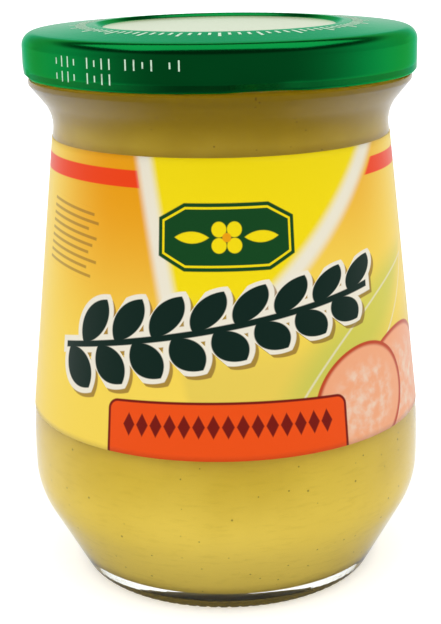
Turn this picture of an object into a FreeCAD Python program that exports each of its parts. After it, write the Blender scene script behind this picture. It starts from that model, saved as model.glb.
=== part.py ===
import FreeCAD, Part
import math
import os

# A 250 ml mustard jar with its twist-off lid on, in millimetres.
# +Z is up, the origin is the centre of the ring the jar stands on, and the front of the label faces -Y.

# ---- glass jar, outside -------------------------------------------------------------------------
BELLY_R = 36.05            # widest radius, a short upright band
BELLY_CORNER_Z = 16.3      # where the tapered foot and the upright band would meet
BELLY_TOP_Z = 28.3         # where the upright band and the long cone would meet
BELLY_LOWER_ROUND = 16.0
BELLY_UPPER_ROUND = 80.0
FOOT_R = 27.2              # where the tapered foot would meet the ground
HEEL_ROUND = 1.6
RING_WIDTH = 3.35          # the ring the jar stands on, in from the foot
PUSH_UP = 1.6              # how far the bottom inside that ring is raised
PUSH_UP_ROUND = 1.0
NECK_Z = 85.0              # where the cone meets the underside of the bead
NECK_ROUND = 7.0
BEAD_TAPER_DEG = 39.0      # lean of the bead's underside from the upright
BEAD_SETBACK = 0.75        # the bead's edge lies this far inside the lid's skirt
BEAD_ROUND = 0.7
BEAD_LAND = 0.9            # upright edge of the bead, below its top face

# ---- glass jar, inside and mouth ----------------------------------------------------------------
MOUTH_R = 27.8
FINISH_WALL = 3.8          # glass of the mouth above the bead, between the thread ridges
NECK_WALL = 1.8            # glass where the cone meets the bead
GLASS_WALL = 2.5           # glass of the foot, belly and cone
FLOOR_GLASS = 2.0          # glass between the push-up and the inside floor
FLOOR_CORNER_ROUND = 5.5
RIM_ROUND = 1.3

# ---- thread ridges on the mouth -----------------------------------------------------------------
THREAD_COUNT = 4
THREAD_DEPTH = 1.1
THREAD_HEIGHT = 1.5
THREAD_SWEEP_DEG = 58.0
THREAD_TILT_DEG = 3.0
THREAD_ROOT = 0.8          # how far a ridge is rooted in the glass

# ---- lid ----------------------------------------------------------------------------------------
LID_WALL = 0.3
THREAD_TO_SKIRT = 1.65     # gap between the thread ridges and the inside of the skirt
LID_SKIRT = 7.5            # from the shoulder corner down to the lower edge
LID_SHOULDER_ROUND = 2.3
LID_CREST_INSIDE = 6.0     # highest ring of the top lies this far inside the mouth's wall
LID_CREST_RISE = 1.1       # crest above the shoulder corner
LID_CREST_ROUND = 0.9
PANEL_SINK = 0.6           # panel below the crest
PANEL_STEP = 0.9           # width of the step down to the panel
PANEL_STEP_ROUND = 0.6
CURL_WIDTH = 1.15
CURL_HEIGHT = 1.3
CURL_ROUND = 0.5
SEAL_THICKNESS = 0.8       # soft ring between the lid and the rim, at its outer edge
SEAL_OVERHANG = 0.45       # seal wider than the rim, each side
BEAD_TO_LID = 0.35         # gap between the bead's top face and the lid's lower edge

# ---- lugs on the lid ----------------------------------------------------------------------------
LUG_SWEEP_DEG = 22.0
LUG_HEIGHT = 1.0
LUG_CLEARANCE = 0.5        # between a lug and the glass of the mouth
LUG_SEAT_GAP = 0.1         # between the top of a lug and the middle of a ridge's underside
LUG_TURN_DEG = 12.0        # turn of the lugs past the middle of the thread ridges

# ---- label and filling --------------------------------------------------------------------------
LABEL_ABOVE_BELLY = 3.2    # label's lower edge above the top of the upright band
LABEL_BELOW_NECK = 4.0     # label's upper edge below the underside of the bead
LABEL_THICKNESS = 0.1
LABEL_GAP_DEG = 24.0       # bare glass between the label's two ends, at the back
HEADSPACE = 3.6            # rim down to the top of the mustard

AXIS = FreeCAD.Vector(0, 0, 1)
ORIGIN = FreeCAD.Vector(0, 0, 0)


def cross_point(a, b, c, d):
    """Where the line through a and b meets the line through c and d, as (r, z)."""
    abr, abz = b[0] - a[0], b[1] - a[1]
    cdr, cdz = d[0] - c[0], d[1] - c[1]
    along = ((c[0] - a[0]) * cdz - (c[1] - a[1]) * cdr) / (abr * cdz - abz * cdr)
    return a[0] + along * abr, a[1] + along * abz


def shifted(corners, distance):
    """The path moved by distance to its left, with each corner mitred and its round kept concentric."""
    sides = []
    for (r0, z0, _), (r1, z1, _) in zip(corners, corners[1:]):
        length = math.hypot(r1 - r0, z1 - z0)
        nr, nz = -(z1 - z0) / length * distance, (r1 - r0) / length * distance
        sides.append(((r0 + nr, z0 + nz), (r1 + nr, z1 + nz)))
    moved = [(*sides[0][0], 0.0)]
    for (r, z, round_), before, after in zip(corners[1:-1], sides, sides[1:]):
        turn = ((before[1][0] - before[0][0]) * (after[1][1] - after[0][1])
                - (before[1][1] - before[0][1]) * (after[1][0] - after[0][0]))
        concentric = round_ - math.copysign(distance, turn * distance)
        moved.append((*cross_point(*before, *after), max(concentric, 0.0)))
    moved.append((*sides[-1][1], 0.0))
    return moved


def limited(corners):
    """The same corners, with no round reaching past the middle of the shorter side next to it."""
    kept = [corners[0]]
    for before, (r, z, round_), after in zip(corners, corners[1:], corners[2:]):
        side_in = (r - before[0], z - before[1])
        side_out = (after[0] - r, after[1] - z)
        turn = math.atan2(side_in[0] * side_out[1] - side_in[1] * side_out[0],
                          side_in[0] * side_out[0] + side_in[1] * side_out[1])
        room = min(math.hypot(*side_in), math.hypot(*side_out)) / 2
        kept.append((r, z, min(round_, room / math.tan(abs(turn) / 2))))
    return kept + [corners[-1]]


def outline_face(corners):
    """A flat face in the XZ plane from (r, z, round) corners, with a tangent arc at each round."""
    stops = []
    count = len(corners)
    for index, (r, z, round_) in enumerate(corners):
        corner = FreeCAD.Vector(r, 0, z)
        before = FreeCAD.Vector(corners[index - 1][0], 0, corners[index - 1][1]) - corner
        after = FreeCAD.Vector(corners[(index + 1) % count][0], 0, corners[(index + 1) % count][1]) - corner
        before.normalize()
        after.normalize()
        if round_ <= 0:
            stops.append((corner, None, corner))
            continue
        half = before.getAngle(after) / 2
        reach = round_ / math.tan(half)
        bisector = (before + after).normalize()
        middle = corner + bisector * (round_ / math.sin(half) - round_)
        stops.append((corner + before * reach, middle, corner + after * reach))
    edges = []
    for index, (start, middle, end) in enumerate(stops):
        if middle is not None:
            edges.append(Part.Arc(start, middle, end).toShape())
        following = stops[(index + 1) % count][0]
        if end.distanceToPoint(following) > 1e-6:
            edges.append(Part.LineSegment(end, following).toShape())
    return Part.Face(Part.Wire(edges))


def turned(corners, sweep_deg=360.0, start_deg=0.0):
    """The outline turned about the jar's axis, from start_deg (0 is +X) through sweep_deg."""
    solid = outline_face(corners).revolve(ORIGIN, AXIS, sweep_deg)
    solid.rotate(ORIGIN, AXIS, start_deg)
    return solid


def ring_block(inner_r, outer_r, low_z, high_z, sweep_deg, middle_deg):
    """A plain block bent round the axis."""
    corners = [(inner_r, low_z, 0), (outer_r, low_z, 0), (outer_r, high_z, 0), (inner_r, high_z, 0)]
    return turned(corners, sweep_deg, middle_deg - sweep_deg / 2)


# ---- levels and radii worked out from the sizes above --------------------------------------------
FINISH_R = MOUTH_R + FINISH_WALL
THREAD_R = FINISH_R + THREAD_DEPTH
LID_R = THREAD_R + THREAD_TO_SKIRT + LID_WALL
LID_CREST_R = MOUTH_R - LID_CREST_INSIDE
BEAD_R = LID_R - BEAD_SETBACK
NECK_R = MOUTH_R + NECK_WALL
RING_INNER_R = FOOT_R - RING_WIDTH
BEAD_LOW_Z = NECK_Z + (BEAD_R - NECK_R) / math.tan(math.radians(BEAD_TAPER_DEG))
BEAD_TOP_Z = BEAD_LOW_Z + BEAD_LAND
LID_LOW_Z = BEAD_TOP_Z + BEAD_TO_LID
SHOULDER_Z = LID_LOW_Z + LID_SKIRT
CREST_Z = SHOULDER_Z + LID_CREST_RISE
PANEL_Z = CREST_Z - PANEL_SINK
INNER_FLOOR_Z = PUSH_UP + FLOOR_GLASS
SLOPE = LID_CREST_RISE / (LID_R - LID_CREST_R)
LID_WALL_UPRIGHT = LID_WALL * math.hypot(1, SLOPE)
SEAL_OUTER_R = FINISH_R + SEAL_OVERHANG
SEAL_INNER_R = MOUTH_R - SEAL_OVERHANG
LUG_LOW_Z = LID_LOW_Z + CURL_ROUND / 2
THREAD_Z = LUG_LOW_Z + LUG_HEIGHT + LUG_SEAT_GAP + THREAD_HEIGHT / 2
LABEL_LOW_Z = BELLY_TOP_Z + LABEL_ABOVE_BELLY
LABEL_HIGH_Z = NECK_Z - LABEL_BELOW_NECK


def lid_underside_z(r):
    """Height of the lid's underside on the sloping ring between the crest and the shoulder."""
    return SHOULDER_Z + (LID_R - r) * SLOPE - LID_WALL_UPRIGHT


RIM_Z = lid_underside_z(SEAL_OUTER_R) - SEAL_THICKNESS

# Outside of the body from the ring it stands on up to the edge of the bead, low to high.
BODY_PATH = limited([
    (RING_INNER_R, 0.0, 0.0),
    (FOOT_R, 0.0, HEEL_ROUND),
    (BELLY_R, BELLY_CORNER_Z, BELLY_LOWER_ROUND),
    (BELLY_R, BELLY_TOP_Z, BELLY_UPPER_ROUND),
    (NECK_R, NECK_Z, NECK_ROUND),
    (BEAD_R, BEAD_LOW_Z, BEAD_ROUND),
    (BEAD_R, BEAD_TOP_Z, 0.0),
])


def jar_outside(grown=0.0):
    """The jar as a full solid, with its body grown outward by the given thickness."""
    ring_inner, *body, bead_top = shifted(BODY_PATH, -grown)
    return turned([
        (0.0, PUSH_UP, 0.0),
        (RING_INNER_R - PUSH_UP, PUSH_UP, PUSH_UP_ROUND),
        ring_inner,
        *body,
        (bead_top[0], BEAD_TOP_Z, BEAD_ROUND / 2),
        (FINISH_R, BEAD_TOP_Z, BEAD_ROUND / 2),
        (FINISH_R, RIM_Z, RIM_ROUND),
        (0.0, RIM_Z, 0.0),
    ])


def jar_hollow(top_z):
    """The space inside the glass up to top_z: a flat floor, walls that follow the outside, an upright mouth."""
    _, foot, belly_low, belly_top, neck, _, _ = shifted(BODY_PATH, GLASS_WALL)
    floor_r, _ = cross_point(foot, belly_low, (0, INNER_FLOOR_Z), (1, INNER_FLOOR_Z))
    _, mouth_z = cross_point(belly_top, neck, (MOUTH_R, 0), (MOUTH_R, 1))
    return turned(limited([
        (0.0, INNER_FLOOR_Z, 0.0),
        (floor_r, INNER_FLOOR_Z, FLOOR_CORNER_ROUND),
        belly_low,
        belly_top,
        (MOUTH_R, mouth_z, NECK_ROUND),
        (MOUTH_R, top_z, 0.0),
        (0.0, top_z, 0.0),
    ]))


def thread_ridges():
    """Short ridges round the mouth, each tilted a little so that a lug climbs under it."""
    ridges = []
    for index in range(THREAD_COUNT):
        ridge = turned([
            (FINISH_R - THREAD_ROOT, THREAD_Z - THREAD_HEIGHT, 0.0),
            (THREAD_R, THREAD_Z - THREAD_HEIGHT / 4, 0.0),
            (THREAD_R, THREAD_Z + THREAD_HEIGHT / 4, 0.0),
            (FINISH_R - THREAD_ROOT, THREAD_Z + THREAD_HEIGHT, 0.0),
        ], THREAD_SWEEP_DEG, -THREAD_SWEEP_DEG / 2)
        ridge.rotate(FreeCAD.Vector(0, 0, THREAD_Z), FreeCAD.Vector(1, 0, 0), THREAD_TILT_DEG)
        ridge.rotate(ORIGIN, AXIS, index * 360.0 / THREAD_COUNT)
        ridges.append(ridge)
    return ridges


def make_glass_jar():
    solid = jar_outside().fuse(thread_ridges())
    return solid.cut(jar_hollow(RIM_Z + 1.0))


def make_mustard():
    return jar_hollow(RIM_Z - HEADSPACE)


def make_lid():
    """A thin pressed shell: sunk panel, crest, sloping ring, round shoulder, skirt, solid curl and lugs."""
    outside = limited([
        (0.0, PANEL_Z, 0.0),
        (LID_CREST_R - PANEL_STEP, PANEL_Z, PANEL_STEP_ROUND),
        (LID_CREST_R, CREST_Z, LID_CREST_ROUND),
        (LID_R, SHOULDER_Z, LID_SHOULDER_ROUND),
        (LID_R, LID_LOW_Z + CURL_HEIGHT, 0.0),
    ])
    inside = shifted(outside, -LID_WALL)
    curl_in_r = LID_R - CURL_WIDTH
    curl = [
        (LID_R, LID_LOW_Z, CURL_ROUND),
        (curl_in_r, LID_LOW_Z, CURL_ROUND),
        (curl_in_r, LID_LOW_Z + CURL_HEIGHT, CURL_ROUND / 2),
    ]
    shell = turned(outside[:-1] + curl + inside[::-1])
    lugs = [
        ring_block(FINISH_R + LUG_CLEARANCE, LID_R - CURL_WIDTH / 2, LUG_LOW_Z, LUG_LOW_Z + LUG_HEIGHT,
                   LUG_SWEEP_DEG, LUG_TURN_DEG + index * 360.0 / THREAD_COUNT)
        for index in range(THREAD_COUNT)
    ]
    return shell.fuse(lugs)


def make_lid_seal():
    """A soft ring that fills the space between the rim's flat top and the lid's sloping ring."""
    return turned([
        (SEAL_INNER_R, RIM_Z, 0.0),
        (SEAL_OUTER_R, RIM_Z, 0.0),
        (SEAL_OUTER_R, lid_underside_z(SEAL_OUTER_R), 0.0),
        (SEAL_INNER_R, lid_underside_z(SEAL_INNER_R), 0.0),
    ])


def make_label():
    """Paper of even thickness that follows the belly and the cone, open at the back."""
    skin = jar_outside(LABEL_THICKNESS).cut(jar_outside())
    band = ring_block(MOUTH_R, BELLY_R + GLASS_WALL, LABEL_LOW_Z, LABEL_HIGH_Z, 360.0 - LABEL_GAP_DEG, 270.0)
    return skin.common(band)


PIECES = {
    "glass_jar": make_glass_jar,
    "mustard": make_mustard,
    "lid": make_lid,
    "lid_seal": make_lid_seal,
    "label": make_label,
}

os.makedirs("parts", exist_ok=True)
for node, make in PIECES.items():
    shape = make()
    solid = shape.Solids[0]
    if len(shape.Solids) != 1 or not solid.isValid():
        raise ValueError(f"{node} is not one valid solid")
    solid.exportStep(f"parts/{node}.step")
    print(node, "volume", round(solid.Volume / 1000, 2), "ml, box z",
          round(solid.BoundBox.ZMin, 2), "to", round(solid.BoundBox.ZMax, 2),
          "x", round(solid.BoundBox.XMin, 2), "to", round(solid.BoundBox.XMax, 2))
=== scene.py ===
"""A closed glass jar of mustard with a green twist-off lid and a printed paper label.

The sizes in the property groups are metres. millimetres() hands them to the shape functions in
millimetres, and new_piece() turns the finished points back into metres. +Z is up, the label faces -Y.
"""
import math
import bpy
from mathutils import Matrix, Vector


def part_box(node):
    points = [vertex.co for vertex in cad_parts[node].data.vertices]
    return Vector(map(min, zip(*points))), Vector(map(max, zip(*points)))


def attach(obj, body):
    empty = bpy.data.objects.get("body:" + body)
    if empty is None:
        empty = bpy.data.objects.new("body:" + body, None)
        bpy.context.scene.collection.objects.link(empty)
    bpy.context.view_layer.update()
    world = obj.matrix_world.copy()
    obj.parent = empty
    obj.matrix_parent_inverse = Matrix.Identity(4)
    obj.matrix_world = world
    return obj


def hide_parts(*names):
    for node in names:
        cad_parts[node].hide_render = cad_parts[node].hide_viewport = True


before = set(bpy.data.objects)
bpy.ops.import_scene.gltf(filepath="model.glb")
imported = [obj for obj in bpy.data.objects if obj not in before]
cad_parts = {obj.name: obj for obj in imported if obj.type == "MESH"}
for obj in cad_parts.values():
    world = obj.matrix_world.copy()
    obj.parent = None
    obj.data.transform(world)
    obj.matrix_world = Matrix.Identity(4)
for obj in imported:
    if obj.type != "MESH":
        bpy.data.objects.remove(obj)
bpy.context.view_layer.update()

from types import SimpleNamespace

import bpy
import numpy as np
from bpy.props import FloatProperty, FloatVectorProperty, IntProperty, PointerProperty
from mathutils import Matrix, Vector

bl_info = {
    "name": "Mustard Jar",
    "version": (1, 0, 0),
    "blender": (4, 5, 0),
    "location": "View3D > Sidebar > Mustard Jar",
    "description": "Makes the glass, the filling, the lid and the printed label of a mustard jar",
    "category": "Add Mesh",
}

BODY = "root"
MM = 0.001


def node_box(name):
    """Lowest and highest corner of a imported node, in millimetres."""
    low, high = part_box(name)
    return np.array(low) / MM, np.array(high) / MM


JAR_LOW, JAR_HIGH = node_box("glass_jar")
FILL_LOW, FILL_HIGH = node_box("mustard")
LID_LOW, LID_HIGH = node_box("lid")
LABEL_LOW, LABEL_HIGH = node_box("label")


# ---------------------------------------------------------------------------------------------------
# Sizes and colours
# ---------------------------------------------------------------------------------------------------

def length(name, description, default):
    """A length in metres that the panel shows."""
    return FloatProperty(name=name, description=description, default=default, precision=5, unit="LENGTH")


def angle(name, description, degrees):
    """An angle, given in degrees and kept in radians."""
    return FloatProperty(name=name, description=description, default=math.radians(degrees), subtype="ANGLE")


def colour(name, description, red, green, blue):
    """A display colour, given in steps of 255."""
    display = (red / 255, green / 255, blue / 255)
    return FloatVectorProperty(name=name, description=description, default=display, size=3, min=0.0, max=1.0,
                               subtype="COLOR_GAMMA")


class JarGlassSizes(bpy.types.PropertyGroup):
    belly_radius: length("Belly radius", "Widest radius, a short upright band", float(JAR_HIGH[0]) * MM)
    belly_corner: length("Belly corner", "Height where the foot and the upright band would meet", 0.0163)
    belly_top: length("Belly top", "Height where the upright band and the cone would meet", 0.0283)
    belly_lower_round: length("Belly lower round", "Radius between foot and belly", 0.016)
    belly_upper_round: length("Belly upper round", "Radius between belly and cone", 0.08)
    foot_radius: length("Foot radius", "Where the foot would meet the ground", 0.0272)
    heel_round: length("Heel round", "Radius between foot and standing ring", 0.0016)
    ring_width: length("Ring width", "Width of the ring the jar stands on", 0.00335)
    push_up: length("Push-up", "Height of the raised bottom", 0.0016)
    neck_height: length("Neck height", "Where the cone meets the bead's underside", 0.085)
    neck_round: length("Neck round", "Radius between cone and bead", 0.007)
    bead_lean: angle("Bead lean", "Lean of the bead's underside from the upright", 39.0)
    bead_radius: length("Bead radius", "Radius of the bead under the lid", float(LID_HIGH[0]) * MM - 0.00075)
    bead_round: length("Bead round", "Radius of the bead's edge", 0.0007)
    bead_land: length("Bead land", "Upright edge of the bead", 0.0009)
    mouth_radius: length("Mouth radius", "Inside radius of the mouth", 0.0278)
    finish_wall: length("Finish wall", "Glass of the mouth above the bead", 0.0038)
    neck_wall: length("Neck wall", "Glass where cone and bead meet", 0.0018)
    wall: length("Wall", "Glass of foot, belly and cone", 0.0025)
    rib_count: IntProperty(name="Ribs", description="Short ribs round the standing ring", default=90)
    rib_depth: length("Rib depth", "Depth of the notches between the ribs", 0.00028)
    tint: colour("Tint", "Colour of the clear glass", 250, 253, 249)


class MustardSizes(bpy.types.PropertyGroup):
    into_wall: length("Into the wall", "How far the filling reaches into the glass", 0.00008)
    corner_round: length("Corner round", "Radius between floor and foot inside", 0.005)
    paste: colour("Paste", "Main colour of the mustard", 229, 195, 68)
    paste_dark: colour("Paste dark", "Slow darker drifts in the mustard", 219, 184, 56)
    # Deeper colour near the lid: partly a browner paste at the top, partly painted shade from the lid's
    # overhang.
    neck_brown_and_shade: colour("Neck tone", "Deeper colour near the lid", 160, 127, 0)
    # Paler paste near the foot: painted light, standing in for light bounced up from the floor.
    foot_painted_bounce_light: colour("Foot tone", "Paler colour near the foot", 250, 218, 96)
    streak: colour("Streak", "Faint level streaks", 184, 148, 26)
    speck: colour("Speck", "Ground seed coat", 96, 70, 18)


class LidSizes(bpy.types.PropertyGroup):
    wall: length("Wall", "Tinplate and lacquer", 0.0003)
    shoulder_round: length("Shoulder round", "Radius between top and skirt", 0.0023)
    crest_inside: length("Crest inside", "Crest inside the mouth's wall", 0.006)
    crest_rise: length("Crest rise", "Crest above the shoulder corner", 0.0011)
    crest_round: length("Crest round", "Radius of the crest", 0.0009)
    panel_sink: length("Panel sink", "Panel below the crest", 0.0006)
    panel_step: length("Panel step", "Width of the step down to the panel", 0.0009)
    step_round: length("Step round", "Radius at the foot of the step", 0.0006)
    curl_width: length("Curl width", "Rolled lower edge", 0.00115)
    curl_height: length("Curl height", "Rolled lower edge", 0.0013)
    curl_round: length("Curl round", "Radius of the rolled edge", 0.0005)
    lug_sweep: angle("Lug sweep", "Angle that one lug takes", 22.0)
    lug_turn: angle("Lug turn", "Turn of the first lug from +X", 12.0)
    lug_count: IntProperty(name="Lugs", description="Lugs round the lid", default=4)
    enamel: colour("Enamel", "Green of the lid", 4, 146, 66)
    # Pale field on the lid's panel: partly a paler panel, partly a painted reflection of the white wall
    # behind.
    panel_pale_and_reflection: colour("Panel field", "Pale round field on the panel", 172, 188, 138)
    ink: colour("Ink", "White print on the lid", 206, 232, 206)


class LabelSizes(bpy.types.PropertyGroup):
    thickness: length("Thickness", "Paper and glue", 0.0001)
    gap: angle("Gap", "Bare glass between the label's ends", 24.0)
    unroll_radius: length("Unroll radius", "Radius at which the print is measured round the jar", 0.0329)
    yellow: colour("Yellow", "Bright field in the middle", 243, 218, 4)
    pale_yellow: colour("Pale yellow", "Lower middle field", 233, 204, 84)
    orange: colour("Orange", "Upper left field", 234, 158, 8)
    straw: colour("Straw", "Lower left field", 246, 214, 84)
    white: colour("White", "Bare paper", 236, 230, 212)
    red: colour("Red", "Band below the upper edge", 238, 66, 14)
    banner: colour("Banner", "Field of the banner", 238, 80, 12)
    maroon: colour("Maroon", "Marks and edge of the banner", 122, 22, 10)
    dark_green: colour("Dark green", "Plaque", 16, 72, 30)
    leaf_green: colour("Leaf green", "Sprig", 14, 40, 32)
    light_green: colour("Light green", "Soft leaf behind the slices", 176, 196, 84)
    salmon: colour("Salmon", "Slices", 240, 168, 126)
    rind: colour("Rind", "Edge of the slices", 190, 70, 36)
    brown: colour("Brown", "Shadow and rules", 132, 92, 40)


class StageSizes(bpy.types.PropertyGroup):
    eye_distance: length("Eye distance", "Camera to the jar's axis", 0.2466)
    eye_height: length("Eye height", "Camera above the ground", 0.1182)
    eye_side: length("Eye side", "Camera beside the axis", -0.00064)
    pitch: angle("Pitch", "Camera looks down by this much", 16.13)
    roll: angle("Roll", "Camera turned about its view", 1.01)
    lens: FloatProperty(name="Lens", description="Focal length", default=79.38, subtype="DISTANCE_CAMERA")
    fill_light: FloatProperty(name="Fill", description="Even light from all round", default=0.56)


def millimetres(group):
    """The values of a property group, with its lengths in millimetres."""
    values = {}
    for key in group.__annotations__:
        value = getattr(group, key)
        values[key] = value / MM if group.bl_rna.properties[key].unit == "LENGTH" else value
    return SimpleNamespace(**values)


# ---------------------------------------------------------------------------------------------------
# Outlines
# ---------------------------------------------------------------------------------------------------

def meet(a, b, c, d):
    """Where the line through a and b crosses the line through c and d."""
    (ax, ay), (bx, by), (cx, cy), (dx, dy) = a, b, c, d
    along = ((cx - ax) * (dy - cy) - (cy - ay) * (dx - cx)) / ((bx - ax) * (dy - cy) - (by - ay) * (dx - cx))
    return ax + along * (bx - ax), ay + along * (by - ay)


def shifted(corners, distance):
    """The (r, z, round) corners moved by distance to the path's left: mitred corners, concentric rounds."""
    points = np.array([corner[:2] for corner in corners])
    along = np.diff(points, axis=0)
    along /= np.linalg.norm(along, axis=1)[:, None]
    left = np.stack([-along[:, 1], along[:, 0]], axis=1) * distance
    starts, ends = points[:-1] + left, points[1:] + left
    moved = [(*starts[0], 0.0)]
    for index, (_, _, round_) in enumerate(corners[1:-1]):
        turn = along[index][0] * along[index + 1][1] - along[index][1] * along[index + 1][0]
        spot = meet(starts[index], ends[index], starts[index + 1], ends[index + 1])
        moved.append((*spot, max(round_ - math.copysign(distance, turn * distance), 0.0)))
    return moved + [(*ends[-1], 0.0)]


def rounded(corners, arc_step=math.radians(4), line_step=4.0):
    """Points (r, z) along the path: corners become tangent arcs in equal angles, sides equal lengths."""
    stops = []
    for index, (r, z, round_) in enumerate(corners):
        spot = np.array([r, z])
        if round_ <= 0 or index in (0, len(corners) - 1):
            stops.append(spot[None, :])
            continue
        before = np.array(corners[index - 1][:2]) - spot
        after = np.array(corners[index + 1][:2]) - spot
        before, after = before / np.linalg.norm(before), after / np.linalg.norm(after)
        half = math.acos(np.clip(before @ after, -1, 1)) / 2
        centre = spot + (before + after) / np.linalg.norm(before + after) * round_ / math.sin(half)
        start = spot + before * round_ / math.tan(half) - centre
        side = math.copysign(1, start[0] * after[1] - start[1] * after[0])
        sweep = np.linspace(0, math.pi - 2 * half, max(3, round((math.pi - 2 * half) / arc_step) + 2)) * side
        across = np.array([-start[1], start[0]])
        stops.append(centre + np.cos(sweep)[:, None] * start + np.sin(sweep)[:, None] * across)
    pieces = [stops[0]]
    for before, after in zip(stops, stops[1:]):
        gap = np.linalg.norm(after[0] - before[-1])
        cuts = max(1, round(gap / line_step))
        share = np.linspace(0, 1, cuts + 1)[1:-1, None]
        pieces += [before[-1] + (after[0] - before[-1]) * share, after]
    return np.concatenate(pieces)


def jar_walls(sizes):
    """(r, z, round) corners of the jar's outside, from the ring's inner edge up to the bead's top."""
    neck_radius = sizes.mouth_radius + sizes.neck_wall
    bead_low = sizes.neck_height + (sizes.bead_radius - neck_radius) / math.tan(sizes.bead_lean)
    return [
        (sizes.foot_radius - sizes.ring_width, 0.0, 0.0),
        (sizes.foot_radius, 0.0, sizes.heel_round),
        (sizes.belly_radius, sizes.belly_corner, sizes.belly_lower_round),
        (sizes.belly_radius, sizes.belly_top, sizes.belly_upper_round),
        (neck_radius, sizes.neck_height, sizes.neck_round),
        (sizes.bead_radius, bead_low, sizes.bead_round),
        (sizes.bead_radius, bead_low + sizes.bead_land, 0.0),
    ]


def hollow_walls(sizes, grown=0.0):
    """(r, z, round) corners of the space inside the glass, floor to fill level, grown into the glass."""
    _, foot, belly_low, belly_top, neck, _, _ = shifted(jar_walls(sizes), sizes.wall - grown)
    floor = float(FILL_LOW[2]) - grown
    mouth = sizes.mouth_radius + grown
    floor_radius, _ = meet(foot[:2], belly_low[:2], (0, floor), (1, floor))
    _, mouth_height = meet(belly_top[:2], neck[:2], (mouth, 0), (mouth, 1))
    return [
        (0.0, floor, 0.0),
        (floor_radius, floor, bpy.context.scene.jar_mustard.corner_round / MM),
        belly_low,
        belly_top,
        (mouth, mouth_height, sizes.neck_round),
        (mouth, float(FILL_HIGH[2]), 0.0),
    ]


# ---------------------------------------------------------------------------------------------------
# Meshes
# ---------------------------------------------------------------------------------------------------

def grid_quads(rows, columns, first=0, wrap=False):
    """Corner numbers of the quads of a grid numbered row by row. wrap joins the last column to the first."""
    row, column = np.meshgrid(np.arange(rows - 1), np.arange(columns if wrap else columns - 1), indexing="ij")
    following = (column + 1) % columns
    corners = [row * columns + column, row * columns + following,
               (row + 1) * columns + following, (row + 1) * columns + column]
    return np.stack(corners, axis=-1).reshape(-1, 4) + first


def new_piece(name, points, faces, slot, material, smooth=True):
    """A mesh object at the origin from points in millimetres, riding on the jar's body. faces is a list of
    arrays, each with a row of corner numbers for every face."""
    mesh = bpy.data.meshes.new(name)
    rows = [row for array in faces for row in array.tolist()]
    mesh.from_pydata((points * MM).tolist(), [], rows)
    mesh.validate()
    mesh.polygons.foreach_set("use_smooth", np.full(len(mesh.polygons), smooth))
    mesh.update()
    piece = bpy.data.objects.new(name, mesh)
    bpy.context.scene.collection.objects.link(piece)
    mesh.materials.append(material)
    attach(piece, BODY)
    return piece


def lathe(path, segments, shape=None):
    """Points and faces of the path turned once round the axis: x = r sin(t), y = -r cos(t), t = 0 at -Y.
    shape(r, z, t) may move the grid's rings. Path ends on the axis close in a fan; other ends stay open."""
    turn = np.arange(segments) / segments * math.tau
    r, t = np.meshgrid(path[:, 0], turn, indexing="ij")
    z = np.broadcast_to(path[:, 1:2], r.shape)
    if shape:
        r, z = shape(r, z, t)
    points = np.stack([r * np.sin(t), -r * np.cos(t), z], axis=-1)
    inner = [index for index in (0, len(path) - 1) if path[index, 0] < 1e-9]
    rings = [index for index in range(len(path)) if index not in inner]
    body = points[rings].reshape(-1, 3)
    faces = [grid_quads(len(rings), segments, wrap=True)]
    extra = []
    around = np.arange(segments)
    for index in inner:
        pole = len(body) + len(extra)
        extra.append([0.0, 0.0, path[index, 1]])
        first = 0 if index == 0 else (len(rings) - 1) * segments
        fan = [around + first, np.roll(around, -1) + first]
        fan = fan[::-1] if index == 0 else fan
        faces.append(np.stack([*fan, np.full(segments, pole)], axis=1))
    return np.concatenate([body, np.array(extra).reshape(-1, 3)]), faces


def slab(top, bottom):
    """A thin closed sheet between two grids of one size, the top facing out, with quads round the rim."""
    rows, columns, _ = top.shape
    count = rows * columns
    number = np.arange(count).reshape(rows, columns)
    rim = np.concatenate([number[0, :-1], number[:-1, -1], number[-1, :0:-1], number[:0:-1, 0]])
    following = np.roll(rim, -1)
    sides = np.stack([rim, rim + count, following + count, following], axis=1)
    faces = np.concatenate([grid_quads(rows, columns), grid_quads(rows, columns, count)[:, ::-1], sides])
    return np.concatenate([top.reshape(-1, 3), bottom.reshape(-1, 3)]), [faces]


def joined(parts):
    """Several (points, faces) sets as one, each set's corner numbers moved on past those before it."""
    points, faces, first = [], [], 0
    for part_points, part_faces in parts:
        points.append(part_points)
        faces += [array + first for array in part_faces]
        first += len(part_points)
    return np.concatenate(points), faces


# ---------------------------------------------------------------------------------------------------
# Shader arithmetic
# ---------------------------------------------------------------------------------------------------

def linear(display):
    """Display colour to the linear colour that shaders take: the usual two-part curve."""
    values = np.array(display)
    return (*np.where(values <= 0.04045, values / 12.92, ((values + 0.055) / 1.055) ** 2.4), 1.0)


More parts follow.
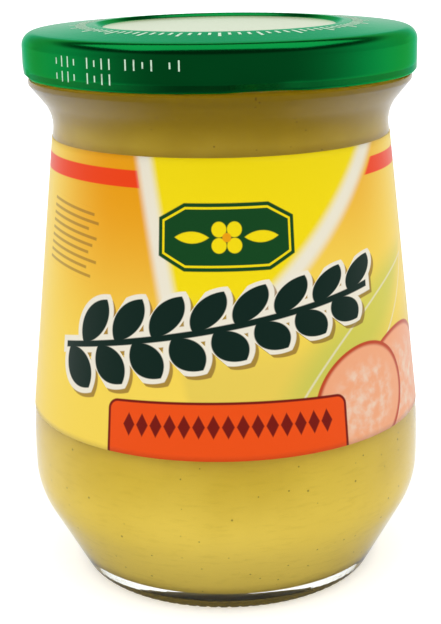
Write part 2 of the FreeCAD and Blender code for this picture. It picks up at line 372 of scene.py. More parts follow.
class Field:
    """A number that varies over a surface, kept as a socket. Arithmetic on it adds Math nodes to its tree."""

    def __init__(self, tree, socket):
        self.tree = tree
        self.socket = socket

    def math(self, operation, *others):
        """One Math node fed with this value and the others."""
        node = self.tree.nodes.new("ShaderNodeMath")
        node.operation = operation
        for slot, value in zip(node.inputs, (self, *others)):
            if isinstance(value, Field):
                self.tree.links.new(value.socket, slot)
            else:
                slot.default_value = value
        return Field(self.tree, node.outputs[0])

    def __add__(self, other):
        return self.math("ADD", other)

    def __sub__(self, other):
        return self.math("SUBTRACT", other)

    def __mul__(self, other):
        return self.math("MULTIPLY", other)

    def __truediv__(self, other):
        return self.math("DIVIDE", other)

    def __abs__(self):
        return self.math("ABSOLUTE")

    def root(self):
        return self.math("SQRT")

    def least(self, other):
        return self.math("MINIMUM", other)

    def most(self, other):
        return self.math("MAXIMUM", other)

    def step(self, low, high):
        """0 below low, 1 above high, smooth between. High may be the smaller."""
        node = self.tree.nodes.new("ShaderNodeMapRange")
        node.interpolation_type = "SMOOTHSTEP"
        for name, value in (("Value", self), ("From Min", low), ("From Max", high)):
            if isinstance(value, Field):
                self.tree.links.new(value.socket, node.inputs[name])
            else:
                node.inputs[name].default_value = value
        return Field(self.tree, node.outputs["Result"])


def paint_over(base, colour_, mask):
    """The base colour socket with a colour laid over it where mask is 1."""
    tree = mask.tree
    node = tree.nodes.new("ShaderNodeMix")
    node.data_type = "RGBA"
    tree.links.new(mask.socket, node.inputs["Factor"])
    for slot, value in ((node.inputs[6], base), (node.inputs[7], colour_)):
        if isinstance(value, bpy.types.NodeSocket):
            tree.links.new(value, slot)
        else:
            slot.default_value = linear(value)
    return node.outputs[2]


def new_material(name):
    """A material with a lone Principled shader; returns it, its tree and the shader."""
    material = bpy.data.materials.new(name)
    material.use_nodes = True
    shader = material.node_tree.nodes["Principled BSDF"]
    return material, material.node_tree, shader


def object_place(tree):
    """Object coordinates, in metres."""
    return tree.nodes.new("ShaderNodeTexCoord").outputs["Object"]


def axes(tree, vector):
    """The x, y and z of a vector socket."""
    split = tree.nodes.new("ShaderNodeSeparateXYZ")
    tree.links.new(vector, split.inputs[0])
    return [Field(tree, output) for output in split.outputs]


def flattened(tree, place, factor):
    """The place with its height multiplied, so that a pattern on it lies in level streaks."""
    node = tree.nodes.new("ShaderNodeVectorMath")
    node.operation = "MULTIPLY"
    node.inputs[1].default_value = (1.0, 1.0, factor)
    tree.links.new(place, node.inputs[0])
    return node.outputs[0]


def noise(tree, place, scale, detail=2.0, roughness=0.5):
    """Noise of about one wave in 1/scale metres."""
    node = tree.nodes.new("ShaderNodeTexNoise")
    node.inputs["Scale"].default_value = scale
    node.inputs["Detail"].default_value = detail
    node.inputs["Roughness"].default_value = roughness
    tree.links.new(place, node.inputs["Vector"])
    return Field(tree, node.outputs["Fac"])


def spots(tree, place, scale):
    """Distance to the nearest of scattered points, and that point's own random number."""
    node = tree.nodes.new("ShaderNodeTexVoronoi")
    node.inputs["Scale"].default_value = scale
    tree.links.new(place, node.inputs["Vector"])
    split = tree.nodes.new("ShaderNodeSeparateColor")
    tree.links.new(node.outputs["Color"], split.inputs[0])
    return Field(tree, node.outputs["Distance"]), Field(tree, split.outputs[0])


def bumped(tree, shader, height, distance):
    """Raises the surface by height (0 to 1) times distance, in metres."""
    node = tree.nodes.new("ShaderNodeBump")
    node.inputs["Strength"].default_value = 1.0
    node.inputs["Distance"].default_value = distance
    tree.links.new(height.socket, node.inputs["Height"])
    tree.links.new(node.outputs[0], shader.inputs["Normal"])


# ---------------------------------------------------------------------------------------------------
# Materials
# ---------------------------------------------------------------------------------------------------

def clear_glass(sizes):
    """Smooth clear glass with very slow waves in its skin."""
    material, tree, shader = new_material("clear_glass")
    shader.inputs["Base Color"].default_value = linear(sizes.tint)
    shader.inputs["Roughness"].default_value = 0.0
    shader.inputs["IOR"].default_value = 1.5
    shader.inputs["Transmission Weight"].default_value = 1.0
    bumped(tree, shader, noise(tree, object_place(tree), 90.0, detail=1.0), 0.00006)
    return material


def mustard_paste(sizes):
    """Opaque olive-yellow paste with slow drifts of tone and a few specks of seed coat. It is browner with
    painted shade near the lid, and paler with painted floor light near the foot.
    """
    material, tree, shader = new_material("mustard_paste")
    place = object_place(tree)
    drift = noise(tree, place, 60.0, detail=3.0)
    base = paint_over(sizes.paste, sizes.paste_dark, drift.step(0.35, 0.7))
    height = axes(tree, place)[2] + drift * 0.004
    # Deeper towards the lid: a browner top, with painted shade from the lid's overhang.
    base = paint_over(base, sizes.neck_brown_and_shade, height.step(0.078, 0.090))
    # Paler towards the foot: painted bounce light from the floor.
    base = paint_over(base, sizes.foot_painted_bounce_light, height.step(0.032, 0.012) * 0.8)
    streak = noise(tree, flattened(tree, place, 5.0), 260.0, detail=4.0, roughness=0.6)
    base = paint_over(base, sizes.streak, streak.step(0.48, 0.75) * 0.15)
    for scale, size, share in ((620.0, 0.13, 0.30), (380.0, 0.10, 0.30)):
        distance, chance = spots(tree, place, scale)
        speck = distance.step(size, size * 0.55) * chance.step(share, share * 0.9)
        base = paint_over(base, sizes.speck, speck * 0.6)
    tree.links.new(base, shader.inputs["Base Color"])
    shader.inputs["Roughness"].default_value = 0.6
    shader.inputs["Specular IOR Level"].default_value = 0.05
    return material


FIELD_MARGIN = 0.6         # millimetres from the panel's step to its pale field


def green_enamel(sizes):
    """Glossy green enamel on tinplate, with a faint orange-peel skin."""
    material, tree, shader = new_material("green_enamel")
    place = object_place(tree)
    shade = noise(tree, place, 40.0)
    darker = tuple(0.93 * value for value in sizes.enamel)
    base = paint_over(sizes.enamel, darker, shade.step(0.4, 0.7))
    x, y, _ = axes(tree, place)
    mouth_radius = millimetres(bpy.context.scene.jar_glass).mouth_radius
    field_edge = (mouth_radius - sizes.crest_inside - sizes.panel_step - FIELD_MARGIN) * MM
    # The pale panel field is partly the panel's own colour, partly a painted reflection of the white wall it
    # faces at a grazing angle.
    panel = (x * x + y * y).root().step(field_edge + 0.0003, field_edge)
    tree.links.new(paint_over(base, sizes.panel_pale_and_reflection, panel), shader.inputs["Base Color"])
    tree.links.new((panel * -1.0 + 1.0).socket, shader.inputs["Metallic"])
    shader.inputs["Roughness"].default_value = 0.2
    shader.inputs["Specular Tint"].default_value = linear((0.2, 0.9, 0.7))
    shader.inputs["Coat Weight"].default_value = 0.06
    shader.inputs["Coat Roughness"].default_value = 0.06
    bumped(tree, shader, noise(tree, place, 350.0), 0.00001)
    return material


def lid_ink(sizes):
    """White print, a little uneven where the ink is thin."""
    material, tree, shader = new_material("lid_ink")
    thin = tuple(0.82 * value for value in sizes.ink)
    worn = noise(tree, object_place(tree), 900.0, detail=4.0)
    tree.links.new(paint_over(sizes.ink, thin, worn.step(0.5, 0.7)), shader.inputs["Base Color"])
    shader.inputs["Roughness"].default_value = 0.4
    return material


def seal_compound():
    """Soft off-white compound with a fine grain."""
    material, tree, shader = new_material("seal_compound")
    grain = noise(tree, object_place(tree), 1200.0)
    base = paint_over((0.88, 0.88, 0.86), (0.82, 0.82, 0.79), grain.step(0.4, 0.6))
    tree.links.new(base, shader.inputs["Base Color"])
    shader.inputs["Roughness"].default_value = 0.65
    return material


# ---------------------------------------------------------------------------------------------------
# The label's print. u runs round the jar in millimetres from the front, v is height above the ground.
# ---------------------------------------------------------------------------------------------------

UV_SPAN = 240.0            # millimetres that one unit of the print's UV map stands for
PRINT_LOW, PRINT_HIGH = 30.7, 80.2     # v at the label's lower and upper edge
PRINT_EDGE = 0.12          # softness of a crisp printed edge
BAND = (75.1, 77.9)        # red band, lower and upper edge
LEFT_SWOOSH = (-14.1, -0.205)      # u at the label's upper edge, and change of u with height below it
SPRIG = dict(mid=52.9, rise=0.18, bow=-0.0006, pitch=6.9, lean=math.radians(56), half_long=4.6, half_wide=2.6,
             first=-4, last=3, narrowing=0.011)


def turned(p, q, degrees):
    """The point (p, q) in axes turned by the given angle."""
    c, s = math.cos(math.radians(degrees)), math.sin(math.radians(degrees))
    return p * c + q * s, q * c - p * s


def lens(p, q, half_long, half_wide):
    """Depth inside a pointed oval: the part shared by two circles, positive inside."""
    radius = (half_long ** 2 + half_wide ** 2) / (2 * half_wide)
    reach = abs(q) + (radius - half_wide)
    return (p * p + reach * reach).root() * -1.0 + radius


def oval(u, v, half_u, half_v):
    """Near enough the depth inside an ellipse, positive inside."""
    a, b = u / half_u, v / half_v
    return ((a * a + b * b).root() * -1.0 + 1.0) * min(half_u, half_v)


def box_depth(u, v, half_u, half_v, round_):
    """Depth inside a rounded rectangle, positive inside."""
    a = (abs(u) - (half_u - round_)).most(0.0)
    b = (abs(v) - (half_v - round_)).most(0.0)
    return (a * a + b * b).root() * -1.0 + round_


def inked(depth, spread=0.0):
    """1 where the shape, grown by spread, is printed."""
    return depth.step(-spread - PRINT_EDGE, -spread + PRINT_EDGE)


def leaf_row(u, v, side):
    """Depth inside a row of leaves that lean forward from a rising stem, above it (side 1) or below it (-1).
    The plane is cut into slanting cells one pitch wide, and each cell holds one pointed oval."""
    stem = u * SPRIG["rise"] + u * u * SPRIG["bow"] + SPRIG["mid"]
    q = (v - stem) * side * (u * SPRIG["narrowing"] + 1.3)
    lean, pitch = SPRIG["lean"], SPRIG["pitch"]
    phase = 0.25 * side
    cell = ((u - q / math.tan(lean)) / pitch - phase).math("ROUND").most(SPRIG["first"]).least(SPRIG["last"])
    p = u - (cell + phase) * pitch - SPRIG["half_long"] * math.cos(lean)
    q = q - SPRIG["half_long"] * math.sin(lean) - 0.25
    along = p * math.cos(lean) + q * math.sin(lean)
    across = q * math.cos(lean) - p * math.sin(lean)
    return lens(along, across, SPRIG["half_long"], SPRIG["half_wide"])


def sprig_depth(u, v):
    """Leaves above and below one stem, and the stem itself."""
    stem = u * SPRIG["rise"] + u * u * SPRIG["bow"] + SPRIG["mid"]
    low, high = (SPRIG["first"] - 0.4) * SPRIG["pitch"], (SPRIG["last"] + 0.9) * SPRIG["pitch"]
    stalk = (abs(v - stem) * -1.0 + 0.55).least(u - low).least(u * -1.0 + high)
    return leaf_row(u, v, 1).most(leaf_row(u, v, -1)).most(stalk)


def background(u, v, sizes):
    """Soft fields: orange to straw on the left, bright yellow in the middle, orange and pale on the right."""
    height = v.step(40.0, 76.0)
    left = paint_over(sizes.straw, sizes.orange, height * u.step(-44.0, -20.0))
    middle = paint_over(sizes.pale_yellow, sizes.yellow, v.step(46.0, 60.0))
    swoosh_left = (v * -1.0 + PRINT_HIGH) * -LEFT_SWOOSH[1] + LEFT_SWOOSH[0]
    base = paint_over(left, middle, (u - swoosh_left).step(-1.0, 1.0))
    swoosh_right = v * v * -0.0068 + v * 1.905 - 79.2
    right = paint_over(sizes.straw, sizes.orange, v.step(54.0, 80.0) * u.step(44.0, 24.0) * 0.75)
    base = paint_over(base, right, (u - swoosh_right).step(0.0, 2.0) * v.step(44.0, 54.0))
    reach = v.step(47.0, 58.0)
    beam_left = abs(u - swoosh_left).step(2.4, 0.5) * v.step(46.0, 57.0)
    beam_right = abs(u - swoosh_right).step(3.6, 0.6) * reach
    return base, beam_left.most(beam_right), swoosh_left, swoosh_right


def red_band(base, u, v, swooshes, sizes):
    """A red band round the top, broken by the yellow middle."""
    swoosh_left, swoosh_right = swooshes
    outside = (u - swoosh_left).step(-1.6, -1.8).most((u - swoosh_right).step(3.0, 4.2))
    low, high = BAND
    band = v.step(low - PRINT_EDGE, low + PRINT_EDGE) * v.step(high + PRINT_EDGE, high - PRINT_EDGE)
    return paint_over(base, sizes.red, band * outside)


def green_blade(base, u, v, sizes):
    """A soft green blade behind the slices, with a pale vein."""
    blade = lens(*turned(u - 25.0, v - 50.0, 34.0), 21.0, 6.4)
    base = paint_over(base, sizes.light_green, blade.step(-2.0, 4.5) * 0.55)
    vein = lens(*turned(u - 26.0, v - 47.6, 36.0), 20.0, 4.2)
    return paint_over(base, sizes.white, abs(vein).step(0.35, 0.0) * 0.6)


def meat_slices(base, u, v, place, sizes):
    """Two overlapping slices with a darker rind and a pale grain."""
    for centre_u, centre_v, half_u, half_v in ((35.5, 37.0, 13.0, 10.5), (25.0, 37.6, 10.2, 9.4)):
        slice_ = oval(*turned(u - centre_u, v - centre_v, 12.0), half_u, half_v)
        grain = noise(u.tree, place, 110.0, detail=3.0)
        base = paint_over(base, sizes.rind, inked(slice_, 0.35))
        base = paint_over(base, sizes.salmon, slice_.step(0.0, 0.7))
        base = paint_over(base, sizes.white, slice_.step(1.2, 5.0) * grain.step(0.35, 0.75) * 0.55)
    return base


PLAQUE_CENTRE = (0.6, 67.6)
SEED_PITCH = 2.3
RULE_PITCH = 1.3


def flower_plaque(base, u, v, sizes):
    """A green plaque with a thin line, a four-petalled flower and two leaves."""
    across, up = u - PLAQUE_CENTRE[0], v - PLAQUE_CENTRE[1]
    plaque = (abs(across) * -1.0 + 11.6).least(abs(up) * -1.0 + 5.5)
    plaque = plaque.least((abs(across) * 0.55 + abs(up)) * -0.876 + 8.3)
    base = paint_over(base, sizes.dark_green, inked(plaque))
    base = paint_over(base, sizes.yellow, abs(plaque - 0.8).step(0.26, 0.12))
    petals = oval(abs(across) - 1.3, abs(up) - 1.3, 1.25, 1.25)
    leaves = lens(abs(across) - 5.9, up, 2.9, 0.95)
    base = paint_over(base, sizes.yellow, inked(petals.most(leaves)))
    return paint_over(base, sizes.orange, inked(oval(across, up, 0.75, 0.75)))


def seed_banner(base, u, v, sizes):
    """A banner along the lower edge, with a row of pointed seeds."""
    top = v - u * u * -0.0022
    across = u - 0.3
    banner = box_depth(across, top - 30.2, 20.0, 10.5, 1.8)
    base = paint_over(base, sizes.maroon, inked(banner))
    base = paint_over(base, sizes.banner, inked(banner, -0.45))
    cell = (across / SEED_PITCH).math("ROUND").most(-7.0).least(7.0)
    seed_u = across - cell * SEED_PITCH
    seeds = (abs(seed_u) + abs(top - 36.5) * 0.5) * -1.0 + 1.0
    return paint_over(base, sizes.maroon, inked(seeds))


def leafy_sprig(base, u, v, sizes):
    """The sprig's shadow, its white edge and its leaves."""
    base = paint_over(base, sizes.brown, inked(sprig_depth(u - 0.75, v + 0.75), 0.75) * 0.75)
    sprig = sprig_depth(u, v)
    base = paint_over(base, sizes.white, inked(sprig, 0.95))
    return paint_over(base, sizes.leaf_green, inked(sprig))


def ruled_block(base, u, v, sizes):
    """A small block of thin rules of uneven length on the left."""
    rule_u, rule_v = turned(u + 30.5, v - 65.2, -5.0)
    row = (rule_v / RULE_PITCH).math("ROUND")
    ragged = (row * 2.4).math("SINE") * 1.3
    inside = inked(box_depth(rule_u, rule_v, 8.0, 6.2, 0.3)) * abs(rule_v - row * RULE_PITCH).step(0.34, 0.16)
    return paint_over(base, sizes.brown, inside * (rule_u - ragged).step(6.0, 5.6) * 0.6)


def printed_paper(sizes):
    """Semi-gloss paper with the whole print worked out from u and v."""
    material, tree, shader = new_material("printed_paper")
    uv = tree.nodes.new("ShaderNodeUVMap")
    uv.uv_map = "print"
    u, v = (part * UV_SPAN for part in axes(tree, uv.outputs[0])[:2])

    base, beams, *swooshes = background(u, v, sizes)
    base = red_band(base, u, v, swooshes, sizes)
    base = paint_over(base, sizes.white, beams * 0.96)
    base = green_blade(base, u, v, sizes)
    base = meat_slices(base, u, v, uv.outputs[0], sizes)
    base = flower_plaque(base, u, v, sizes)
    base = seed_banner(base, u, v, sizes)
    base = leafy_sprig(base, u, v, sizes)
    base = ruled_block(base, u, v, sizes)
    tree.links.new(base, shader.inputs["Base Color"])
    shader.inputs["Roughness"].default_value = 0.33
    shader.inputs["Specular IOR Level"].default_value = 0.15
    shader.inputs["Sheen Weight"].default_value = 0.2
    shader.inputs["Sheen Roughness"].default_value = 0.3
    bumped(tree, shader, noise(tree, object_place(tree), 900.0, detail=3.0), 0.000012)
    return material


# ---------------------------------------------------------------------------------------------------
# Operators, one for each piece or group of like pieces
# ---------------------------------------------------------------------------------------------------

class JarOperator:
    """What the jar's operators share."""
    bl_options = {"REGISTER", "UNDO"}


class MUSTARD_JAR_OT_glass(JarOperator, bpy.types.Operator):
    """Make the clear glass jar"""
    bl_idname = "mustard_jar.glass"
    bl_label = "Glass jar"

    def execute(self, context):
        sizes = millimetres(context.scene.jar_glass)
        ring_inner, *body, bead_top = jar_walls(sizes)
        rim = float(JAR_HIGH[2])
        finish = sizes.mouth_radius + sizes.finish_wall
        outside = rounded([
            (0.0, sizes.push_up, 0.0),
            (ring_inner[0] - sizes.push_up, sizes.push_up, 1.0),
            ring_inner,
            *body,
            (bead_top[0], bead_top[1], sizes.bead_round / 2),
            (finish, bead_top[1], sizes.bead_round / 2),
            (finish, rim, 1.3),
            (sizes.mouth_radius, rim, 0.5),
            (sizes.mouth_radius, rim - 2.0, 0.0),
        ], line_step=2.0)
        inside = rounded(hollow_walls(sizes)[:-1] + [(sizes.mouth_radius, rim - 2.0, 0.0)], line_step=4.0)
        path = np.concatenate([outside[:-1], inside[::-1]])
        middle = sizes.foot_radius - sizes.ring_width / 2

        def ribbed(r, z, t):
            """Notches between radial ribs in the ring's underside. Their depth falls off to both sides."""
            near_ring = np.clip(1 - np.abs(r - middle) / (sizes.ring_width * 0.75), 0, 1) * (z < 1.0)
            notch = np.clip(np.cos(t * sizes.rib_count), 0, 1) ** 0.5 * (0.65 + 0.35 * np.sin(7 * t + 2))
            return r, z + sizes.rib_depth * near_ring ** 0.5 * notch

        points, faces = lathe(path, 360, ribbed)
        piece = new_piece("jar_glass", points, faces, "clear_glass", clear_glass(sizes))
        piece.visible_shadow = False
        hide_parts("glass_jar")
        return {"FINISHED"}


class MUSTARD_JAR_OT_filling(JarOperator, bpy.types.Operator):
    """Fill the jar with mustard that reaches just into the wall"""
    bl_idname = "mustard_jar.filling"
    bl_label = "Mustard"

    def execute(self, context):
        sizes = millimetres(context.scene.jar_mustard)
        walls = rounded(hollow_walls(millimetres(context.scene.jar_glass), sizes.into_wall), line_step=3.0)
        mouth, level = walls[-1]
        top = np.stack([np.linspace(mouth, 0.0, 12)[1:], np.full(11, level)], axis=1)

        def heaped(r, z, t):
            """The top rises in low uneven waves, none at the wall."""
            waves = 0.35 * np.sin(3 * t + r / 4) + 0.25 * np.cos(5 * t - r / 3)
            fade = np.clip((mouth - r) / 6, 0, 1) * np.clip(r / 6, 0, 1)
            return r, z + np.where(z > level - 0.01, waves * fade, 0.0)

        points, faces = lathe(np.concatenate([walls, top]), 192, heaped)
        piece = new_piece("mustard_fill", points, faces, "mustard_paste", mustard_paste(sizes))
        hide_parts("mustard")
        return {"FINISHED"}


def lid_outline(sizes):
    """(r, z, round) corners of the lid's outside from the panel's middle to the top of the curl."""
    radius, low, crest = float(LID_HIGH[0]), float(LID_LOW[2]), float(LID_HIGH[2])
    crest_radius = millimetres(bpy.context.scene.jar_glass).mouth_radius - sizes.crest_inside
    return [
        (0.0, crest - sizes.panel_sink, 0.0),
        (crest_radius - sizes.panel_step, crest - sizes.panel_sink, sizes.step_round),
        (crest_radius, crest, sizes.crest_round),
        (radius, crest - sizes.crest_rise, sizes.shoulder_round),
        (radius, low + sizes.curl_height, 0.0),
    ]


class MUSTARD_JAR_OT_lid(JarOperator, bpy.types.Operator):
    """Press the lid from tinplate, with its curl pulled in at the lugs"""
    bl_idname = "mustard_jar.lid"
    bl_label = "Lid"

    def execute(self, context):
        sizes = millimetres(context.scene.jar_lid)
        outside = lid_outline(sizes)
        inside = shifted(outside, -sizes.wall)
        radius, low = float(LID_HIGH[0]), float(LID_LOW[2])
        curl = [
            (radius, low, sizes.curl_round),
            (radius - sizes.curl_width, low, sizes.curl_round),
            (radius - sizes.curl_width, low + sizes.curl_height, sizes.curl_round / 2),
        ]
        path = rounded(outside[:-1] + curl + inside[::-1], arc_step=math.radians(9), line_step=1.6)
        quarter = math.tau / sizes.lug_count
        first_lug = sizes.lug_turn + math.pi / 2

        def pressed(r, z, t):
            """At each lug the lower edge is drawn in a little, and beside it the edge dips."""
            off = (t - first_lug + quarter / 2) % quarter - quarter / 2
            at_lug = np.exp(-((off / (sizes.lug_sweep * 0.42)) ** 4))
            beside = np.exp(-(((np.abs(off) - sizes.lug_sweep * 0.75) / (sizes.lug_sweep * 0.3)) ** 2))
            edge = np.clip((low + 2.4 - z) / 2.4, 0, 1) ** 1.5 * (r > radius - 3)
            skin = 0.02 * np.sin(7 * t + 1) * (r > 5)
            return r - 0.22 * at_lug * edge + skin * edge, z + (0.22 * at_lug + 0.05 * beside) * edge

        points, faces = lathe(path, 288, pressed)
        parts = [(points, faces)]
        glass = millimetres(context.scene.jar_glass)
        finish = glass.mouth_radius + glass.finish_wall
        for index in range(sizes.lug_count):
            spread = np.linspace(-0.5, 0.5, 9) * sizes.lug_sweep + first_lug + index * quarter
            reach = np.linspace(finish + 0.5, radius - sizes.curl_width + 0.1, 4)
            r, t = np.meshgrid(reach, spread, indexing="ij")
            flat = [r * np.sin(t), -r * np.cos(t)]
            levels = (low + 1.25, low + 0.35)
            parts.append(slab(*(np.stack([*flat, np.full_like(r, level)], axis=-1) for level in levels)))
        piece = new_piece("lid_shell", *joined(parts), "green_enamel", green_enamel(sizes))
        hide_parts("lid")
        return {"FINISHED"}


TICK_COUNT = 96
TICK_INNER, SHORT_TICK_OUTER, LONG_TICK_OUTER = 23.4, 25.2, 26.4     # radii
MARK_ROWS = ((17, 96.0), (9, 93.6))     # marks in the row, and the row's height
FIRST_MARK = math.radians(-49.5)
MARK_TURN = 0.0425


class MUSTARD_JAR_OT_lid_print(JarOperator, bpy.types.Operator):
    """Print a ring of ticks on the lid's sloping ring and two rows of marks on its skirt"""
    bl_idname = "mustard_jar.lid_print"
    bl_label = "Lid print"

    def execute(self, context):
        sizes = millimetres(context.scene.jar_lid)
        material = lid_ink(sizes)
        corners = lid_outline(sizes)
        (crest_r, crest_z, _), (edge_r, edge_z, _) = corners[2:4]
        slope = (edge_z - crest_z) / (edge_r - crest_r)

        def on_slope(r, t, lift):
            """A point on the sloping ring, raised by lift."""
            return np.stack([r * np.sin(t), -r * np.cos(t), crest_z + (r - crest_r) * slope + lift], axis=-1)

        ticks = []
        for index in range(TICK_COUNT):
            outer = LONG_TICK_OUTER if index % 4 == 0 else SHORT_TICK_OUTER
            reach = np.linspace(TICK_INNER, outer, 3)
            spread = np.linspace(-0.24, 0.24, 3) / 25.0 + index * math.tau / TICK_COUNT
            r, t = np.meshgrid(reach, spread, indexing="ij")
            ticks.append(slab(on_slope(r, t, 0.03), on_slope(r, t, -0.03)))
        new_piece("lid_ring_print", *joined(ticks), "green_enamel", material, smooth=False)

        radius = float(LID_HIGH[0])

        def on_skirt(t, z, lift):
            """A point on the upright skirt, raised by lift."""
            return np.stack([(radius + lift) * np.sin(t), -(radius + lift) * np.cos(t), z], axis=-1)

        marks = []
        for row, (count, height) in enumerate(MARK_ROWS):
            for index in range(count):
                if index % 5 == 4:
                    continue
                tall = 0.85 if (index * 7 + row * 3) % 3 else 0.5
                middle = FIRST_MARK + index * MARK_TURN
                spread = middle + np.linspace(-0.13, 0.13, 3) / radius
                t, z = np.meshgrid(spread, height + np.linspace(-tall, tall, 3), indexing="ij")
                marks.append(slab(*(on_skirt(t, z, lift).transpose(1, 0, 2) for lift in (0.02, -0.03))))
        new_piece("lid_side_marks", *joined(marks), "green_enamel", material, smooth=False)
        return {"FINISHED"}


class MUSTARD_JAR_OT_seal(JarOperator, bpy.types.Operator):
    """Give the sealing ring under the lid its compound"""
    bl_idname = "mustard_jar.seal"
    bl_label = "Lid seal"

    def execute(self, context):
        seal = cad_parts["lid_seal"]
        seal.data.materials.clear()
        seal.data.materials.append(seal_compound())
        return {"FINISHED"}


class MUSTARD_JAR_OT_label(JarOperator, bpy.types.Operator):
    """Wrap the printed label round belly and cone"""
    bl_idname = "mustard_jar.label"
    bl_label = "Label"

    def execute(self, context):
        sizes = millimetres(context.scene.jar_label)
        low, high = float(LABEL_LOW[2]), float(LABEL_HIGH[2])
        walls = jar_walls(millimetres(context.scene.jar_glass))
        body = rounded(walls, arc_step=math.radians(0.5), line_step=2.0)
        wall = body[(np.diff(body[:, 1], append=body[-1, 1] + 1) > 1e-9)]
        heights = np.linspace(low, high, 48)
        radii = np.interp(heights, wall[:, 1], wall[:, 0])
        half = math.pi - sizes.gap / 2
        turn = np.linspace(-half, half, 361)
        z, t = np.meshgrid(heights, turn, indexing="ij")
        r = np.broadcast_to(radii[:, None], z.shape)

        def sheet(lift):
            """The paper's grid of points, raised off the glass by lift."""
            return np.stack([(r + lift) * np.sin(t), -(r + lift) * np.cos(t), z], axis=-1)

        points, faces = slab(sheet(sizes.thickness), sheet(-0.02))
        piece = new_piece("label_paper", points, faces, "printed_paper", printed_paper(sizes))
        corner = np.zeros(len(piece.data.loops), dtype=np.int32)
        piece.data.loops.foreach_get("vertex_index", corner)
        place = np.stack([t * sizes.unroll_radius, z - low + PRINT_LOW], axis=-1).reshape(-1, 2) / UV_SPAN
        place = np.tile(place, (2, 1))
        layer = piece.data.uv_layers.new(name="print")
        layer.data.foreach_set("uv", place[corner].astype(np.float32).ravel())
        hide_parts("label")
        return {"FINISHED"}


class MUSTARD_JAR_OT_stage(JarOperator, bpy.types.Operator):
    """Set the floor, the soft lights, the surroundings and the camera"""
    bl_idname = "mustard_jar.stage"
    bl_label = "Stage"

    def execute(self, context):
        sizes = millimetres(context.scene.jar_stage)
        make_floor()
        make_surroundings(context.scene, sizes.fill_light)
        make_lamp("lamp_left", (-0.55, -0.35, 0.55), (0.8, 0.9), in_gloss=False)
        make_lamp("lamp_right", (0.55, -0.35, 0.55), (0.8, 0.9), in_gloss=False)
        make_lamp("lamp_top", (0.0, 0.10, 0.80), (1.1, 0.7), in_gloss=True)
        camera = bpy.data.objects.new("camera", bpy.data.cameras.new("camera"))
        camera.data.lens = sizes.lens
        camera.data.clip_start = 0.01
        place = Matrix.Translation(Vector((sizes.eye_side, -sizes.eye_distance, sizes.eye_height)) * MM)
        look = Matrix.Rotation(math.pi / 2 - sizes.pitch, 4, "X") @ Matrix.Rotation(-sizes.roll, 4, "Z")
        camera.matrix_world = place @ look
        context.scene.collection.objects.link(camera)
        context.scene.camera = camera
        context.scene.view_settings.view_transform = "Standard"
        context.scene.cycles.caustics_refractive = True
        context.scene.cycles.caustics_reflective = False
        return {"FINISHED"}


# Strength of the surroundings for rays through glass. Above 1, so it also puts more light on the filling.
THROUGH_GLASS = 1.35


def seen_in_gloss(x, y):
    """Brightness round the jar as its gloss sees it: a white wall behind, paler sides, a dark front."""
    facing = y / (x * x + y * y + 0.0001).root()
    wall = facing.step(math.cos(math.radians(52)), math.cos(math.radians(42)))
    return facing.step(-0.85, 0.45) * 0.6 + 0.13, wall


def ray_kinds(tree):
    """Camera rays, rays through glass and rays off gloss, each as 0 or 1."""
    paths = tree.nodes.new("ShaderNodeLightPath")
    camera, through, glossy = (Field(tree, paths.outputs[name])
                               for name in ("Is Camera Ray", "Is Transmission Ray", "Is Glossy Ray"))
    return camera, through, (glossy - through).most(0.0)


def make_floor():
    """A wide pale floor that looks white to the camera and keeps the jar's shadow."""
    mesh = bpy.data.meshes.new("floor")
    mesh.from_pydata([(-3, -3, 0), (3, -3, 0), (3, 3, 0), (-3, 3, 0)], [], [(0, 1, 2, 3)])
    floor = bpy.data.objects.new("floor", mesh)
    bpy.context.scene.collection.objects.link(floor)
    material, tree, shader = new_material("floor_white")
    shader.inputs["Roughness"].default_value = 0.9
    shader.inputs["Specular IOR Level"].default_value = 0.1
    shader.inputs["Emission Color"].default_value = (1.0, 1.0, 1.0, 1.0)
    x, y, _ = axes(tree, object_place(tree))
    camera, through, glossy = ray_kinds(tree)
    sides, wall = seen_in_gloss(x, y)
    reach = (x * x + y * y).root()
    to_camera = camera * (reach.step(0.022, 0.030) + reach.step(0.1, 0.9)) * 0.5
    through_glass = through * reach.step(0.032, 0.046) * 1.1
    glow = to_camera + through_glass + glossy * (sides * 1.35).most(wall)
    tree.links.new(glow.socket, shader.inputs["Emission Strength"])
    tree.links.new(paint_over((0.9, 0.9, 0.9), (0.0, 0.0, 0.0), glossy), shader.inputs["Base Color"])
    mesh.materials.append(material)


def make_surroundings(scene, fill_light):
    """White to the camera, brighter than white through glass, an even fill on plain surfaces, and to gloss
    the wall, sides and front."""
    world = bpy.data.worlds.new("surroundings")
    world.use_nodes = True
    world.cycles.sampling_method = "NONE"
    scene.world = world
    tree = world.node_tree
    ground = tree.nodes["Background"]
    x, y, z = axes(tree, tree.nodes.new("ShaderNodeTexCoord").outputs["Generated"])
    sides, wall = seen_in_gloss(x, y)
    ceiling = z.step(0.65, 0.45)
    mirrored = (sides * ceiling + 0.05).most(wall * z.step(0.24, 0.18))
    camera, through, glossy = ray_kinds(tree)
    level = glossy * (mirrored - fill_light) + fill_light
    level = camera * (level * -1.0 + 1.0) + level
    level = through * (level * -1.0 + THROUGH_GLASS) + level
    tree.links.new(level.socket, ground.inputs["Strength"])
    ground.inputs["Color"].default_value = (1.0, 1.0, 1.0, 1.0)


LAMP_POWER = 2.6           # watts
JAR_MIDDLE = Vector((0, 0, 0.05))


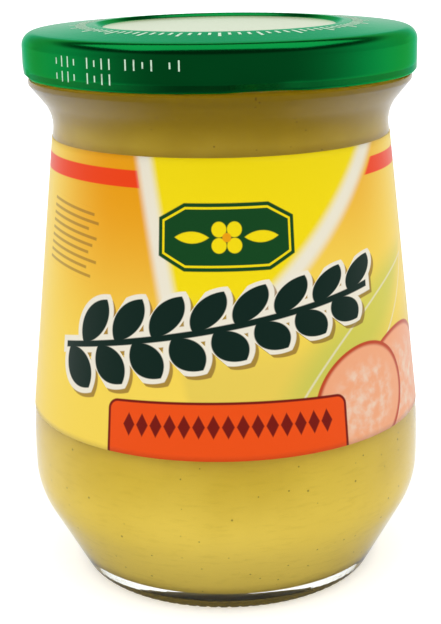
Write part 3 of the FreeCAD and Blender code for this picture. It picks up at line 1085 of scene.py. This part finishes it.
def make_lamp(name, place, size, in_gloss):
    """A soft rectangular lamp that faces the jar's middle, and shows in its gloss or not."""
    lamp = bpy.data.objects.new(name, bpy.data.lights.new(name, "AREA"))
    lamp.data.shape = "RECTANGLE"
    lamp.data.size, lamp.data.size_y = size
    lamp.data.energy = LAMP_POWER
    lamp.location = place
    lamp.rotation_euler = (JAR_MIDDLE - lamp.location).to_track_quat("-Z", "Y").to_euler()
    lamp.visible_camera = False
    lamp.visible_transmission = False
    lamp.visible_glossy = in_gloss
    bpy.context.scene.collection.objects.link(lamp)


# ---------------------------------------------------------------------------------------------------
# Panel and registration
# ---------------------------------------------------------------------------------------------------

STEPS = (
    MUSTARD_JAR_OT_glass,
    MUSTARD_JAR_OT_filling,
    MUSTARD_JAR_OT_lid,
    MUSTARD_JAR_OT_lid_print,
    MUSTARD_JAR_OT_seal,
    MUSTARD_JAR_OT_label,
    MUSTARD_JAR_OT_stage,
)
GROUPS = {
    "jar_glass": JarGlassSizes,
    "jar_mustard": MustardSizes,
    "jar_lid": LidSizes,
    "jar_label": LabelSizes,
    "jar_stage": StageSizes,
}


class MUSTARD_JAR_PT_panel(bpy.types.Panel):
    """Lists the jar's pieces and their sizes"""
    bl_idname = "MUSTARD_JAR_PT_panel"
    bl_label = "Mustard Jar"
    bl_space_type = "VIEW_3D"
    bl_region_type = "UI"
    bl_category = "Mustard Jar"

    def draw(self, context):
        for step in STEPS:
            self.layout.operator(step.bl_idname)
        for name, group in GROUPS.items():
            column = self.layout.column(align=True)
            for key in group.__annotations__:
                column.prop(getattr(context.scene, name), key)


CLASSES = (*GROUPS.values(), *STEPS, MUSTARD_JAR_PT_panel)


def register():
    for cls in CLASSES:
        bpy.utils.register_class(cls)
    for name, group in GROUPS.items():
        setattr(bpy.types.Scene, name, PointerProperty(type=group))


def unregister():
    for name in GROUPS:
        delattr(bpy.types.Scene, name)
    for cls in reversed(CLASSES):
        bpy.utils.unregister_class(cls)


def main():
    register()
    for step in STEPS:
        group, name = step.bl_idname.split(".")
        getattr(getattr(bpy.ops, group), name)()


if __name__ == "__main__":
    main()
